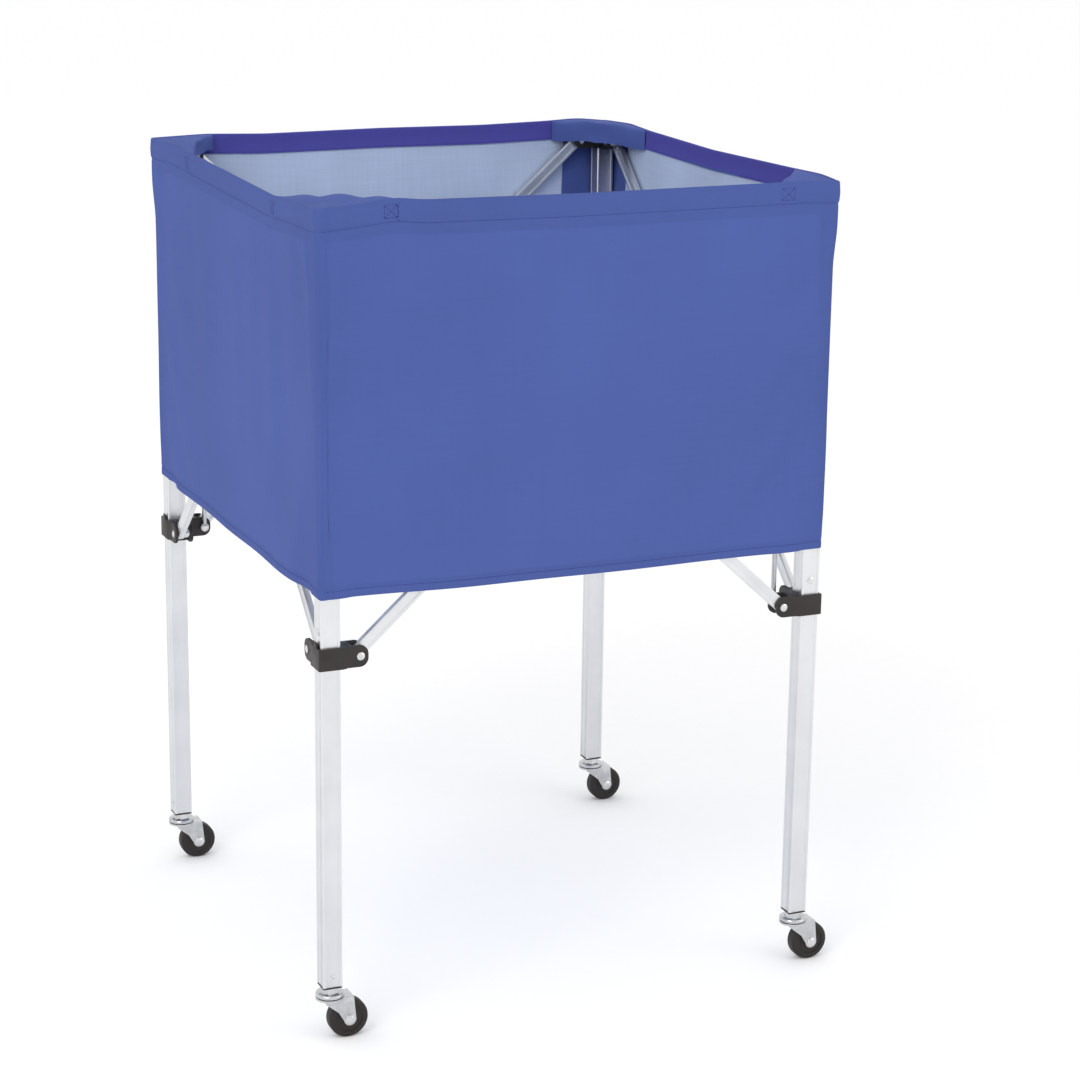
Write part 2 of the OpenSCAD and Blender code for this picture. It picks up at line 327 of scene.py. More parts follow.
class Dye:
    """Wiring of one material's nodes."""

    def __init__(self, name: str) -> None:
        """Start a material with one shader.

        Args:
            name: Name of the material.
        """
        self.material = bpy.data.materials.new(name)
        self.material.use_nodes = True
        self.tree = self.material.node_tree
        self.tree.nodes.clear()
        self.shader = self.tree.nodes.new("ShaderNodeBsdfPrincipled")
        output = self.tree.nodes.new("ShaderNodeOutputMaterial")
        self.join(self.shader.outputs["BSDF"], output.inputs["Surface"])

    def join(self, source: bpy.types.NodeSocket, target: bpy.types.NodeSocket) -> None:
        """Link two sockets."""
        self.tree.links.new(source, target)

    def set(self, **values: object) -> None:
        """Set the shader's own sockets by name, with underscores for spaces."""
        for name, value in values.items():
            self.shader.inputs[name.replace("_", " ")].default_value = value

    def drive(self, socket: str, source: bpy.types.NodeSocket) -> None:
        """Feed one of the shader's sockets from a node."""
        self.join(source, self.shader.inputs[socket])

    def coordinates(
        self,
        source: str = "Object",
        scale: Colour = (1.0, 1.0, 1.0),
        turn: Colour = (0.0, 0.0, 0.0),
    ) -> bpy.types.NodeSocket:
        """Pattern coordinates.

        Args:
            source: Object or UV.
            scale: Scale along each axis.
            turn: Turn about each axis, in radians.

        Returns:
            The mapped coordinates.
        """
        start = self.tree.nodes.new("ShaderNodeTexCoord")
        first = self.tree.nodes.new("ShaderNodeMapping")
        first.vector_type = "TEXTURE"
        first.inputs["Rotation"].default_value = turn
        second = self.tree.nodes.new("ShaderNodeMapping")
        second.inputs["Scale"].default_value = scale
        self.join(start.outputs[source], first.inputs["Vector"])
        self.join(first.outputs["Vector"], second.inputs["Vector"])
        return second.outputs["Vector"]

    def noise(self, vector: bpy.types.NodeSocket, scale: float, detail: float = 4.0) -> bpy.types.NodeSocket:
        """Cloudy noise.

        Args:
            vector: Pattern coordinates.
            scale: Size of the pattern.
            detail: Octaves.

        Returns:
            The noise value.
        """
        node = self.tree.nodes.new("ShaderNodeTexNoise")
        node.inputs["Scale"].default_value = scale
        node.inputs["Detail"].default_value = detail
        self.join(vector, node.inputs["Vector"])
        return node.outputs["Fac"]

    def ramp(self, value: bpy.types.NodeSocket, stops: list[tuple[float, tuple]]) -> bpy.types.NodeSocket:
        """Colour ramp.

        Args:
            value: What picks the colour.
            stops: Position and colour of each stop.

        Returns:
            The colour.
        """
        node = self.tree.nodes.new("ShaderNodeValToRGB")
        band = node.color_ramp
        band.elements[0].position, band.elements[0].color = stops[0]
        band.elements[1].position, band.elements[1].color = stops[-1]
        for position, colour in stops[1:-1]:
            band.elements.new(position).color = colour
        self.join(value, node.inputs["Fac"])
        return node.outputs["Color"]

    def math(
        self,
        operation: str,
        first: bpy.types.NodeSocket,
        second: bpy.types.NodeSocket | float = 0.0,
    ) -> bpy.types.NodeSocket:
        """Arithmetic on values.

        Args:
            operation: Blender's name of the operation.
            first: First value.
            second: Second value, or a number.

        Returns:
            The result.
        """
        node = self.tree.nodes.new("ShaderNodeMath")
        node.operation = operation
        self.join(first, node.inputs[0])
        if isinstance(second, float):
            node.inputs[1].default_value = second
        else:
            self.join(second, node.inputs[1])
        return node.outputs[0]

    def span(self, value: bpy.types.NodeSocket, low: float, high: float) -> bpy.types.NodeSocket:
        """Map a value of about 0.3 to 0.7 to a range.

        Args:
            value: The value.
            low: Result at 0.3.
            high: Result at 0.7.

        Returns:
            The mapped value.
        """
        node = self.tree.nodes.new("ShaderNodeMapRange")
        for name, number in (("From Min", 0.3), ("From Max", 0.7), ("To Min", low), ("To Max", high)):
            node.inputs[name].default_value = number
        self.join(value, node.inputs["Value"])
        return node.outputs["Result"]

    def relief(self, *layers: tuple[bpy.types.NodeSocket, float]) -> None:
        """Feed the shader's normal from layers of relief.

        Args:
            layers: Height value and depth in metres of each layer.
        """
        before = None
        for height, depth in layers:
            node = self.tree.nodes.new("ShaderNodeBump")
            node.inputs["Distance"].default_value = depth
            self.join(height, node.inputs["Height"])
            if before is not None:
                self.join(before, node.inputs["Normal"])
            before = node.outputs["Normal"]
        self.drive("Normal", before)


@dataclass(frozen=True)
class WovenFinish:
    """Plain-weave cloth with faint slubs, clouded dye and crease marks."""

    name: str
    colour: Colour
    pitch: float = 0.9 * MM
    thread_depth: float = 0.06 * MM
    cloud: float = 0.05
    roughness: tuple[float, float] = (0.62, 0.78)
    sheen: float = 0.0
    specular: float = 0.1
    crease_depth: float = 0.35 * MM

    def make(self) -> bpy.types.Material:
        """Build the material.

        Returns:
            The material.
        """
        dye = Dye(self.name)
        flat = dye.coordinates("UV", (math.tau / self.pitch, math.tau / self.pitch, 1.0))
        parts = dye.tree.nodes.new("ShaderNodeSeparateXYZ")
        dye.join(flat, parts.inputs[0])
        warp = dye.math("SINE", parts.outputs["X"])
        weft = dye.math("SINE", parts.outputs["Y"])
        weave = dye.math("MULTIPLY", warp, weft)
        space = dye.coordinates("Object")
        clouds = dye.noise(space, 5.0, 3.0)
        slub_across = dye.noise(dye.coordinates("UV", (12.0, 420.0, 1.0)), 1.0, 2.0)
        slub_up = dye.noise(dye.coordinates("UV", (420.0, 12.0, 1.0)), 1.0, 2.0)
        slubs = dye.math("ADD", slub_across, slub_up)
        mixed = dye.math("ADD", dye.math("MULTIPLY", clouds, 0.6), dye.math("MULTIPLY", slubs, 0.2))
        tone = dye.ramp(mixed, [
            (0.35, shade(self.colour, 1.0 - self.cloud)),
            (0.5, shade(self.colour, 1.0)),
            (0.65, shade(self.colour, 1.0 + self.cloud)),
        ])
        dye.drive("Base Color", tone)
        dye.drive("Roughness", dye.span(slubs, *self.roughness))
        dye.set(Sheen_Weight=self.sheen, Sheen_Roughness=0.45, Specular_IOR_Level=self.specular)
        creases = dye.noise(space, 14.0, 5.0)
        dye.relief((creases, self.crease_depth), (slubs, self.thread_depth), (weave, self.thread_depth))
        return dye.material


@dataclass(frozen=True)
class ExtrudedFinish:
    """Satin anodised aluminium with die lines along the extrusion."""

    name: str
    colour: Colour = (0.71, 0.72, 0.735)
    turn: Colour = (0.0, 0.0, 0.0)
    roughness: tuple[float, float] = (0.28, 0.42)
    metal: float = 0.92

    def make(self) -> bpy.types.Material:
        """Build the material.

        Returns:
            The material.
        """
        dye = Dye(self.name)
        lines = dye.noise(dye.coordinates("Object", (900.0, 900.0, 6.0), self.turn), 1.0, 3.0)
        handling = dye.noise(dye.coordinates("Object"), 22.0, 5.0)
        dye.drive("Base Color", dye.ramp(handling, [
            (0.3, shade(self.colour, 0.95)),
            (0.7, shade(self.colour, 1.03)),
        ]))
        wear = dye.math("MULTIPLY", dye.math("ADD", lines, handling), 0.5)
        dye.drive("Roughness", dye.span(wear, *self.roughness))
        dye.set(Metallic=self.metal)
        dye.relief((lines, 0.02 * MM))
        return dye.material


@dataclass(frozen=True)
class MouldedFinish:
    """Moulded plastic or rubber with a fine spark-eroded grain and rubbed patches."""

    name: str
    colour: Colour
    grain: float = 1400.0
    depth: float = 0.03 * MM
    roughness: tuple[float, float] = (0.42, 0.58)
    mottle: float = 0.25
    specular: float = 0.4

    def make(self) -> bpy.types.Material:
        """Build the material.

        Returns:
            The material.
        """
        dye = Dye(self.name)
        space = dye.coordinates("Object")
        grain = dye.noise(space, self.grain, 2.0)
        patches = dye.noise(space, 45.0, 5.0)
        dye.drive("Base Color", dye.ramp(patches, [
            (0.35, shade(self.colour, 1.0 - self.mottle)),
            (0.65, shade(self.colour, 1.0 + self.mottle)),
        ]))
        dye.drive("Roughness", dye.span(patches, *self.roughness))
        dye.set(Specular_IOR_Level=self.specular)
        dye.relief((grain, self.depth))
        return dye.material


@dataclass(frozen=True)
class PlatedFinish:
    """Plated steel: bright metal with soft spangle and fine scratches."""

    name: str
    colour: Colour
    roughness: tuple[float, float] = (0.22, 0.38)
    spangle: float = 220.0

    def make(self) -> bpy.types.Material:
        """Build the material.

        Returns:
            The material.
        """
        dye = Dye(self.name)
        space = dye.coordinates("Object")
        cells = dye.tree.nodes.new("ShaderNodeTexVoronoi")
        cells.inputs["Scale"].default_value = self.spangle
        dye.join(space, cells.inputs["Vector"])
        dull = dye.noise(space, 90.0, 4.0)
        scratches = dye.noise(dye.coordinates("Object", (300.0, 300.0, 2400.0)), 1.0, 3.0)
        dye.drive("Base Color", dye.ramp(dull, [
            (0.35, shade(self.colour, 0.86)),
            (0.65, shade(self.colour, 1.04)),
        ]))
        dye.drive("Roughness", dye.span(dull, *self.roughness))
        dye.set(Metallic=1.0)
        dye.relief((scratches, 0.012 * MM), (cells.outputs["Distance"], 0.01 * MM))
        return dye.material


@dataclass
class FinishRack:
    """Every finish of the cart, made once."""

    bar_tilt: float
    cloth: bpy.types.Material = field(init=False)
    lining: bpy.types.Material = field(init=False)
    facing: bpy.types.Material = field(init=False)
    thread: bpy.types.Material = field(init=False)
    upright: bpy.types.Material = field(init=False)
    plastic: bpy.types.Material = field(init=False)
    zinc: bpy.types.Material = field(init=False)
    chrome: bpy.types.Material = field(init=False)
    tyre: bpy.types.Material = field(init=False)
    stay: bpy.types.Material = field(init=False)

    def __post_init__(self) -> None:
        """Make the finishes."""
        self.cloth = WovenFinish("blue_woven_polyester", paint(74, 91, 154)).make()
        self.lining = WovenFinish(
            "silver_coated_lining", paint(178, 192, 219), cloud=0.12, roughness=(0.42, 0.55)
        ).make()
        self.facing = WovenFinish("violet_hem_facing", paint(78, 76, 158)).make()
        self.thread = WovenFinish("blue_sewing_thread", paint(44, 48, 118), crease_depth=0.0).make()
        self.upright = ExtrudedFinish("anodised_upright").make()
        self.plastic = MouldedFinish("moulded_black_plastic", paint(38, 33, 32)).make()
        self.zinc = PlatedFinish("zinc_plated_steel", (0.56, 0.57, 0.58), (0.16, 0.3)).make()
        self.chrome = PlatedFinish("bright_rivet_steel", (0.68, 0.68, 0.69), (0.14, 0.26)).make()
        self.tyre = MouldedFinish(
            "solid_black_wheel", paint(34, 28, 26), grain=700.0, depth=0.05 * MM, roughness=(0.5, 0.68)
        ).make()
        self.stay = PlatedFinish("drawn_stay_rod", (0.52, 0.53, 0.55), (0.3, 0.42)).make()

    def bar(self, side: Side, outer: bool) -> bpy.types.Material:
        """Finish of one scissor bar, with its die lines along the bar.

        Args:
            side: Side of the cart that the bar is on.
            outer: True for the bar in the outer plane, which falls away from the side's first corner
                at the front and back, and rises from it at the left and right.

        Returns:
            The material.
        """
        falls = outer == (side in (Side.FRONT, Side.BACK))
        lean = math.pi / 2 + (self.bar_tilt if falls else -self.bar_tilt)
        sign = 1.0 if side in (Side.FRONT, Side.RIGHT) else -1.0
        turn = (0.0, sign * lean, 0.0) if side in (Side.FRONT, Side.BACK) else (-sign * lean, 0.0, 0.0)
        kind = "outer" if outer else "inner"
        return ExtrudedFinish(f"anodised_bar_{side.label}_{kind}", turn=turn).make()


# ---------------------------------------------------------------------------------------------------
# Hard parts: eased copies of the frame's nodes
# ---------------------------------------------------------------------------------------------------


@dataclass(frozen=True)
class EasedPart:
    """A frame part with its sharp edges eased, standing for its CAD node."""

    node: str
    suffix: str
    slot: Slot
    edge: float
    segments: int = 2

    def build(self, finish: bpy.types.Material) -> bpy.types.Object:
        """Copy the node, merge its loose faces and ease its edges.

        Args:
            finish: Material of the part.

        Returns:
            The finished piece.
        """
        source = frame["nodes"][self.node]
        body = source["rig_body"]
        mesh = bpy.data.meshes.new_from_object(source)
        name = f"{self.node}_{self.suffix}"
        mesh.name = name
        piece = bpy.data.objects.new(name, mesh)
        bpy.context.scene.collection.objects.link(piece)
        pick(piece)
        bpy.ops.object.mode_set(mode="EDIT")
        bpy.ops.mesh.customdata_custom_splitnormals_clear()
        bpy.ops.mesh.select_all(action="SELECT")
        bpy.ops.mesh.remove_doubles(threshold=0.02 * MM)
        bpy.ops.mesh.dissolve_limited(angle_limit=math.radians(1.2))
        bpy.ops.object.mode_set(mode="OBJECT")
        apply_modifier(
            piece, "BEVEL", width=self.edge, segments=self.segments, limit_method="ANGLE",
            angle_limit=math.radians(35.0), use_clamp_overlap=True,
        )
        smooth_faces(piece, 40.0)
        mesh.materials.clear()
        mesh.materials.append(finish)
        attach(piece, body)
        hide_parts(self.node)
        LOG.info("%s: %d faces", name, len(mesh.polygons))
        return piece


def dress_node(name: str, finish: bpy.types.Material) -> None:
    """Give a CAD node that is shown as it is its finish.

    Args:
        name: Name of the node.
        finish: Its material.
    """
    mesh = frame["nodes"][name].data
    mesh.materials.clear()
    mesh.materials.append(finish)


@dataclass
class Chassis:
    """Legs, brackets, bars, stays and rivets."""

    rack: FinishRack
    tube_edge: float = 0.3 * MM
    bracket_edge: float = 0.9 * MM
    bar_edge: float = 0.6 * MM

    def build(self) -> None:
        """Build the chassis."""
        for corner in Corner:
            label = corner.label
            EasedPart(f"leg_{label}", "tube", Slot.ALUMINIUM, self.tube_edge).build(self.rack.upright)
            for node in ("top_bracket", "slider"):
                part = EasedPart(f"{node}_{label}", "moulding", Slot.PLASTIC, self.bracket_edge, 3)
                part.build(self.rack.plastic)
            dress_node(f"leg_rivets_{label}", self.rack.chrome)
            dress_node(f"slider_pins_{label}", self.rack.chrome)
            dress_node(f"stay_rod_{label}", self.rack.stay)
        for side in Side:
            for kind in ("outer", "inner"):
                part = EasedPart(f"{side.label}_bar_{kind}", "strip", Slot.ALUMINIUM, self.bar_edge)
                part.build(self.rack.bar(side, kind == "outer"))
            dress_node(f"{side.label}_bar_rivet", self.rack.chrome)


@dataclass
class Casters:
    """Four swivel casters."""

    rack: FinishRack
    plate_edge: float = 0.35 * MM
    stem_edge: float = 0.3 * MM

    def build(self) -> None:
        """Build the casters."""
        for corner in Corner:
            label = corner.label
            EasedPart(f"caster_fork_{label}", "pressing", Slot.ZINC, self.plate_edge).build(self.rack.zinc)
            fitting = EasedPart(f"caster_stem_{label}", "fitting", Slot.CHROME, self.stem_edge)
            stem = fitting.build(self.rack.zinc)
            self.colour_plug(stem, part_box(f"leg_{label}")[0].z)
            dress_node(f"caster_axle_{label}", self.rack.chrome)
            dress_node(f"caster_wheel_{label}", self.rack.tyre)

    def colour_plug(self, stem: bpy.types.Object, leg_end: float) -> None:
        """Give the leg's end plug its plastic.

        Args:
            stem: Stem, race, nut and plug in one piece.
            leg_end: Height of the leg's lower end.
        """
        plug_flange = 2.3 * MM
        stem_radius = 5.4 * MM
        low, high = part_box(stem.name.replace("_fitting", ""))
        centre = (low + high) / 2
        stem.data.materials.append(self.rack.plastic)
        for face in stem.data.polygons:
            away = (face.center - centre).to_2d().length
            if face.center.z > leg_end - plug_flange and away > stem_radius:
                face.material_index = 1


# ---------------------------------------------------------------------------------------------------
# Basket
# ---------------------------------------------------------------------------------------------------


@dataclass
class Drape:
    """How far the hung cloth of one wall has settled from flat, on a grid over the wall."""

    width: float
    height: float
    field: np.ndarray

    def at(self, along: np.ndarray, up: np.ndarray) -> np.ndarray:
        """Look the settling up.

        Args:
            along: Distance from the wall's middle.
            up: Height above the lower hem.

        Returns:
            Movement along, outward and up, one row for each point.
        """
        columns, rows = self.field.shape[:2]
        x = np.clip((along / self.width + 0.5) * (columns - 1), 0, columns - 1.001)
        y = np.clip(up / self.height * (rows - 1), 0, rows - 1.001)
        i, j = x.astype(int), y.astype(int)
        fx, fy = (x - i)[:, None], (y - j)[:, None]
        low = self.field[i, j] * (1 - fx) + self.field[i + 1, j] * fx
        high = self.field[i, j + 1] * (1 - fx) + self.field[i + 1, j + 1] * fx
        return low * (1 - fy) + high * fy


@dataclass
class DrapeTable:
    """Hangs each wall's flat cloth from the rim and the legs, and lets it settle."""

    width: float
    height: float
    columns: int = 68
    rows: int = 48
    held_edge: float = 0.03
    excess: float = 0.0035
    frames: int = 26
    cap: float = 3.6 * MM
    blur: int = 3

    def settle(self, side: Side) -> Drape:
        """Settle one wall.

        Args:
            side: Which wall.

        Returns:
            Its settling.
        """
        grid = laid_sheet(f"drape_{side.label}", self.columns, self.rows, self.flat, (1.0, 1.0))
        start = points_of(grid)
        seed = self.first_ripple(start, side)
        move_points(grid, start + seed)
        moved = self.simulate(grid) - start
        order = np.lexsort((start[:, 2], start[:, 0]))
        table = moved[order].reshape(self.columns + 1, self.rows + 1, 3)
        bpy.data.objects.remove(grid)
        table = self.blurred(table * np.array([1.0, -1.0, 1.0]))
        table[..., 1] = self.cap * np.tanh(table[..., 1] / self.cap)
        table[..., [0, 2]] = np.clip(table[..., [0, 2]], -self.cap, self.cap)
        return Drape(self.width, self.height, table)

    def blurred(self, table: np.ndarray) -> np.ndarray:
        """Stiffen the cloth: average the settling over its neighbours, edges held.

        Args:
            table: Settling on the grid.

        Returns:
            The smoother settling.
        """
        for _ in range(self.blur):
            inner = table[1:-1, 1:-1]
            beside = table[2:, 1:-1] + table[:-2, 1:-1] + table[1:-1, 2:] + table[1:-1, :-2]
            table[1:-1, 1:-1] = 0.2 * inner + 0.2 * beside
        return table

    def flat(self, across: np.ndarray, up: np.ndarray) -> np.ndarray:
        """Flat cloth, upright in the plane y = 0."""
        return np.stack([across * self.width / 2, 0 * across, (up + 1) * self.height / 2], axis=1)

    def first_ripple(self, points: np.ndarray, side: Side) -> np.ndarray:
        """Small uneven start, different for each wall, so the cloth doesn't buckle in one way only."""
        x, z = points[:, 0], points[:, 2]
        phase = 1.7 * side.value
        fade = np.cos(np.clip(x / self.width, -0.5, 0.5) * math.pi) * (1 - z / self.height)
        wave = np.sin(13.0 * x + 5.0 * z + phase) + 0.6 * np.sin(29.0 * x - 9.0 * z + 2.0 * phase)
        return np.stack([0 * x, 0.9 * MM * wave * fade, 0 * x], axis=1)

    def simulate(self, grid: bpy.types.Object) -> np.ndarray:
        """Run the cloth.

        Args:
            grid: Flat cloth with its first ripple.

        Returns:
            The settled points.
        """
        points = points_of(grid)
        edge = self.width / 2 - self.held_edge
        held = np.where((np.abs(points[:, 0]) > edge) | (points[:, 2] > self.height - 1 * MM))[0]
        group = grid.vertex_groups.new(name="held")
        group.add(held.tolist(), 1.0, "REPLACE")
        cloth = grid.modifiers.new("cloth", "CLOTH")
        settings = cloth.settings
        settings.vertex_group_mass = "held"
        settings.quality = 6
        settings.mass = 0.12
        settings.tension_stiffness = settings.compression_stiffness = 25.0
        settings.shear_stiffness = 12.0
        settings.bending_stiffness = 4.0
        settings.air_damping = 3.0
        settings.shrink_min = -self.excess
        cloth.collision_settings.use_collision = False
        scene = bpy.context.scene
        for number in range(1, self.frames + 1):
            scene.frame_set(number)
        settled = points_of(grid.evaluated_get(bpy.context.evaluated_depsgraph_get()))
        scene.frame_set(1)
        return settled


@dataclass(frozen=True)
class SeamRow:
    """One row of stitches in a wall's own coordinates: along the wall and height."""

    start: tuple[float, float]
    end: tuple[float, float]
    inset: float = 0.0
    wander: float = 0.0


@dataclass(frozen=True)
class PocketSize:
    """Reach of a corner pocket along the side that starts at its corner and the side that ends there."""

    ahead: float
    behind: float


@dataclass
class Basket:
    """The sewn basket: walls, lining, pockets, floor and stitching."""

    rack: FinishRack
    half: float = field(init=False)
    hem_z: float = field(init=False)
    rim_z: float = field(init=False)
    drapes: dict[Side, Drape] = field(init=False)
    face: float = 15.0 * MM
    flare: float = 2.6 * MM
    flare_middle: float = 0.4
    flare_drop: tuple[float, float] = (0.110, 0.050)
    corner_r: float = 6.0 * MM
    cloth: float = 0.8 * MM
    lining_cloth: float = 0.5 * MM
    fold_gap: float = 2.9 * MM
    top_hem: float = 27.0 * MM
    low_hem: float = 11.0 * MM
    stitch: float = 3.6 * MM
    seam_inset: float = 11.0 * MM
    lining_rows: int = 56
    fold_start: float = 25.0 * MM
    fold_reach: float = 150.0 * MM
    ridge_out: float = 4.0 * MM
    hollow_in: float = 2.2 * MM
    pocket_sizes: tuple[PocketSize, ...] = (
        PocketSize(0.100, 0.166),
        PocketSize(0.110, 0.081),
        PocketSize(0.090, 0.134),
        PocketSize(0.180, 0.085),
    )
    pocket_lips: tuple[float, ...] = (19.0 * MM, 19.0 * MM, 27.0 * MM, 19.0 * MM)
    facing_lean: float = -0.3
    # Width of the painted corner shade: the lining's ends get the darker blue cloth.
    corner_band: float = 58.0 * MM

    def __post_init__(self) -> None:
        """Read the basket's place from the frame and settle its walls."""
        low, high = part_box("leg_front_left")
        self.half = -(low.x + high.x) / 2
        self.hem_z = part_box("bag_front")[0].z
        self.rim_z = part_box("bag_front")[1].z
        table = DrapeTable(2 * self.reach, self.rim_z - self.top_hem - self.hem_z)
        self.drapes = {side: table.settle(side) for side in Side}

    @property
    def reach(self) -> float:
        """Half the length of a wall, from its middle to the corner's mitre, measured on the cloth."""
        return self.half + self.face - self.corner_r + self.corner_r * math.pi / 4

    @property
    def mitre(self) -> float:
        """Distance from the middle to the mitre of a corner, along X or Y."""
        return self.half + self.face - self.corner_r * (1 - math.cos(math.pi / 4))

    def rim_shift(self, side: Side, along: np.ndarray) -> np.ndarray:
        """How far the rim stands above or hangs below its nominal height.

        Args:
            side: Which wall.
            along: Distance from the wall's middle.

        Returns:
            The shift at each point.
        """
        lines = {
            Side.FRONT: (
                (0, -5.0), (60, 0.5), (95, 4.5), (130, 0.5), (330, -1.0), (580, 0.5), (640, 1.5), (682, -1.5)
            ),
            Side.RIGHT: ((0, -1.5), (45, 2.0), (110, 1.0), (340, -3.0), (540, 0.5), (600, 3.0), (682, -1.0)),
            Side.BACK: (
                (0, -1.0), (50, 4.0), (95, 2.0), (200, -0.5), (350, 0.5), (520, -1.5), (600, 1.0), (682, -2.0)
            ),
            Side.LEFT: (
                (0, -2.0), (90, 1.5), (180, -1.0), (350, -5.5), (516, -10.0), (600, -6.0), (682, -5.0)
            ),
        }
        distances, heights = zip(*lines[side])
        window = np.linspace(-12 * MM, 12 * MM, 7)
        start = along + self.reach
        samples = [np.interp(start + w, np.array(distances) * MM, np.array(heights) * MM) for w in window]
        return np.mean(samples, axis=0)

    def on_wall(self, side: Side, along: np.ndarray, z: np.ndarray, inset: np.ndarray) -> np.ndarray:
        """Point on a wall of the hung basket.

        Args:
            side: Which wall.
            along: Distance from the wall's middle, measured on the cloth.
            z: Nominal height.
            inset: Depth behind the wall's outer face.

        Returns:
            The points.
        """
        along, z, inset = np.broadcast_arrays(along, z, inset)
        corner = ease((np.abs(along) - (self.reach - 0.105)) / 0.045)
        flare_from, flare_to = self.rim_z - self.flare_drop[0], self.rim_z - self.flare_drop[1]
        flare = self.flare * ease((z - flare_from) / (flare_to - flare_from))
        out = self.face + flare * (self.flare_middle + (1 - self.flare_middle) * corner)
        drape = self.drapes[side].at(along, z - self.hem_z)
        out = out + drape[:, 1] * (1 - corner * ease((z - flare_from) / (flare_to - flare_from)))
        out = out + self.puckers(side, along, z)
        share = self.reach + (out - self.face)
        run = along * share / self.reach
        straight = self.half + out - self.corner_r
        bend = np.clip((np.abs(run) - straight) / self.corner_r, 0, math.pi / 4)
        x = np.sign(run) * (np.minimum(np.abs(run), straight) + (self.corner_r - inset) * np.sin(bend))
        x = x + drape[:, 0]
        y = -(self.half + out - self.corner_r + (self.corner_r - inset) * np.cos(bend))
        rise = self.rim_shift(side, along) * ease((z - (self.rim_z - 0.16)) / 0.13)
        points = np.stack([x, y, z + drape[:, 2] + rise], axis=1)
        return quarter_turned(points, side.value)

    def puckers(self, side: Side, along: np.ndarray, z: np.ndarray) -> np.ndarray:
        """Relief of the sewing: gathered hem line, lapped corner seam and doubled pocket ends.

        Args:
            side: Which wall.
            along: Distance from the wall's middle.
            z: Nominal height.

        Returns:
            Outward movement of each point.
        """
        phase = 2.1 * side.value
        hem_line = self.rim_z - self.top_hem
        near_line = bump(z - hem_line, 2.2 * MM)
        below = bump(z - hem_line + 9 * MM, 9 * MM)
        gather = np.sin(along / (5.3 * MM) + phase) * np.sin(along / (41 * MM) + 2 * phase)
        relief = -0.5 * MM * near_line + 0.22 * MM * gather * (near_line + 0.7 * below)
        seam = np.abs(along - self.corner_seam(side, z)) / (1.6 * MM)
        relief = relief - 0.8 * MM * bump(seam, 1.0) + 0.5 * MM * bump(seam - 3.0, 1.0)
        relief = relief + self.corner_fullness(along, z)
        ahead = self.pocket_sizes[side.corner.value].ahead
        behind = self.pocket_sizes[(side.value + 1) % 4].behind
        in_hem = ease((z - hem_line) / (3 * MM))
        doubled = np.maximum(
            ease((ahead - (along + self.reach)) / (3 * MM)), ease((behind - (self.reach - along)) / (3 * MM))
        )
        swell = bump(z - self.rim_z + 14 * MM, 9 * MM)
        relief = relief + 0.6 * MM * doubled * in_hem + 0.7 * MM * swell
        low_line = bump(z - self.hem_z - self.low_hem, 2.0 * MM)
        low_wave = ease(1 - (z - self.hem_z) / (60 * MM)) * np.sin(along / (34 * MM) + 1.3 * phase)
        return relief - 0.35 * MM * low_line + 0.9 * MM * low_wave

    def corner_fullness(self, along: np.ndarray, z: np.ndarray) -> np.ndarray:
        """Slack that stands out below the bracket at each end of a wall, in long folds that fade downwards.

        Args:
            along: Distance from the wall's middle.
            z: Nominal height.

        Returns:
            Outward movement of each point.
        """
        from_end = self.reach - np.abs(along)
        depth = self.rim_z - self.top_hem - z
        fade = ease(depth / self.fold_start) * np.exp(-np.clip(depth, 0, None) / self.fold_reach)
        ridge = bump(from_end - 34 * MM + 0.08 * depth, 9 * MM)
        hollow = bump(from_end - 66 * MM + 0.10 * depth, 18 * MM)
        return fade * (self.ridge_out * ridge - self.hollow_in * hollow)

    def corner_seam(self, side: Side, z: np.ndarray) -> np.ndarray:
        """Wandering line of the lapped seam beside the wall's first corner.

        Args:
            side: Which wall.
            z: Nominal height.

        Returns:
            Place along the wall.
        """
        wander = 1.2 * MM * np.sin(z / 0.071 + side.value) + 0.7 * MM * np.sin(z / 0.023)
        return -self.reach + self.seam_inset + wander

    def wall_profile(self, inner: bool) -> tuple[np.ndarray, np.ndarray]:
        """Section of a wall's cloth from its inner lower edge, round the hems, to its inner upper edge.

        Args:
            inner: True for the lining, which is plain and ends under the top hem.

        Returns:
            Inset and height of each row.
        """
        if inner:
            z = np.linspace(self.hem_z + 4 * MM, self.rim_z - self.top_hem + 6 * MM, self.lining_rows)
            return np.full_like(z, self.cloth + 0.5 * MM), z
        middle = self.cloth / 2
        fold = 0.9 * MM
        half_turn = np.linspace(-math.pi / 2, math.pi / 2, 7)
        low = [(middle + 2 * fold, self.hem_z + self.low_hem)]
        low += [(middle + 2 * fold, self.hem_z + 5 * MM), (middle + 2 * fold, self.hem_z + 2 * MM)]
        low += [
            (middle + fold - fold * math.sin(a), self.hem_z + fold - fold * math.cos(a)) for a in half_turn
        ]
        rise = np.linspace(self.hem_z + 2 * MM, self.hem_z + 16 * MM, 8)
        body = np.linspace(self.hem_z + 24 * MM, self.rim_z - self.top_hem - 20 * MM, 46)
        top = np.linspace(self.rim_z - self.top_hem - 14 * MM, self.rim_z - 2.4 * MM, 24)
        face = [(middle, z) for z in (*rise, *body, *top)]
        round_r = self.fold_gap / 2
        rim = [
            (middle + round_r + round_r * math.sin(a), self.rim_z - round_r + round_r * math.cos(a))
            for a in half_turn
        ]
        inside = [
            (middle + self.fold_gap - 0.5 * MM * t, self.rim_z - 2.4 * MM - (self.top_hem - 2.4 * MM) * t)
            for t in np.linspace(0, 1, 9)
        ]
        section = np.array(low + face + rim + inside)
        return section[:, 0], section[:, 1]

